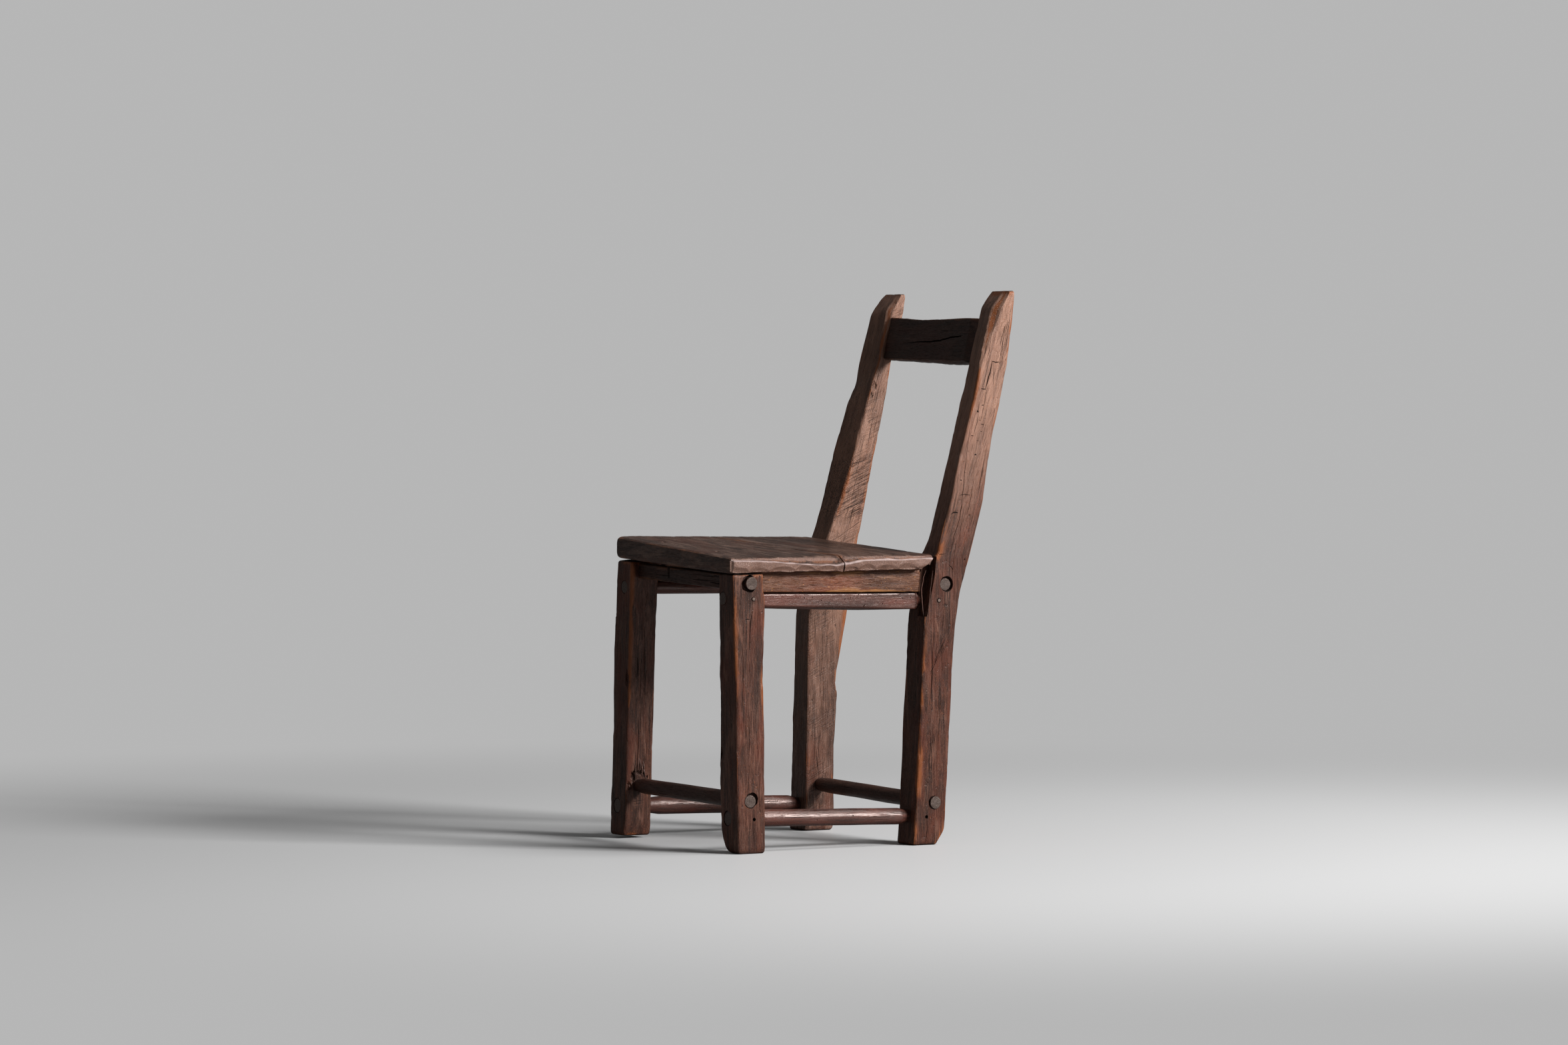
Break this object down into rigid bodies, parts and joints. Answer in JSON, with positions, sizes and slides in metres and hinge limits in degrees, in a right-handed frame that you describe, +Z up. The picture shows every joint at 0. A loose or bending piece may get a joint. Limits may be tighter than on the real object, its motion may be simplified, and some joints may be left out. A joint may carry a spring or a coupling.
{
  "type": "rustic wooden chair",
  "caption": "Old hand-hewn wooden chair with a thick plank seat, raked back posts, one crest rail and pegged round stretchers.",
  "frame": {"origin": "on the floor, under the middle of the chair's bounding box", "axes": "+Z up; the sitter faces -Y; the sitter's left side is +X"},
  "size_m": [0.402, 0.524, 0.852],
  "materials": {
    "seat_wood": "worn waxed dark hardwood, polished by use, with lighter rubbed edges",
    "leg_wood": "hewn reddish-brown hardwood, waxed and scratched, dark in the checks",
    "rail_wood": "dark reddish-brown hardwood with an old dull polish",
    "round_wood": "shaved hardwood rods, smooth, handled and waxed",
    "peg_wood": "paler end grain of small hardwood pegs",
    "seat_peg_wood": "dark worn peg heads"
  },
  "bodies": {
    "root": {"seat_front_board": "seat_wood", "seat_back_board": "seat_wood", "front_left_leg": "leg_wood", "front_right_leg": "leg_wood", "back_left_post": "leg_wood", "back_right_post": "leg_wood", "crest_rail": "rail_wood", "front_rail": "rail_wood", "back_rail": "rail_wood", "left_apron": "rail_wood", "right_apron": "rail_wood", "left_round_rail": "round_wood", "right_round_rail": "round_wood", "front_stretcher": "round_wood", "back_stretcher": "round_wood", "left_stretcher": "round_wood", "right_stretcher": "round_wood", "left_rail_front_peg": "peg_wood", "left_rail_back_peg": "peg_wood", "right_rail_front_peg": "peg_wood", "right_rail_back_peg": "peg_wood", "right_stretcher_front_peg": "peg_wood", "right_stretcher_back_peg": "peg_wood", "seat_peg_front_left": "seat_peg_wood", "seat_peg_front_right": "seat_peg_wood", "seat_peg_back_left": "seat_peg_wood", "seat_peg_back_right": "seat_peg_wood"}
  },
  "joints": []
}
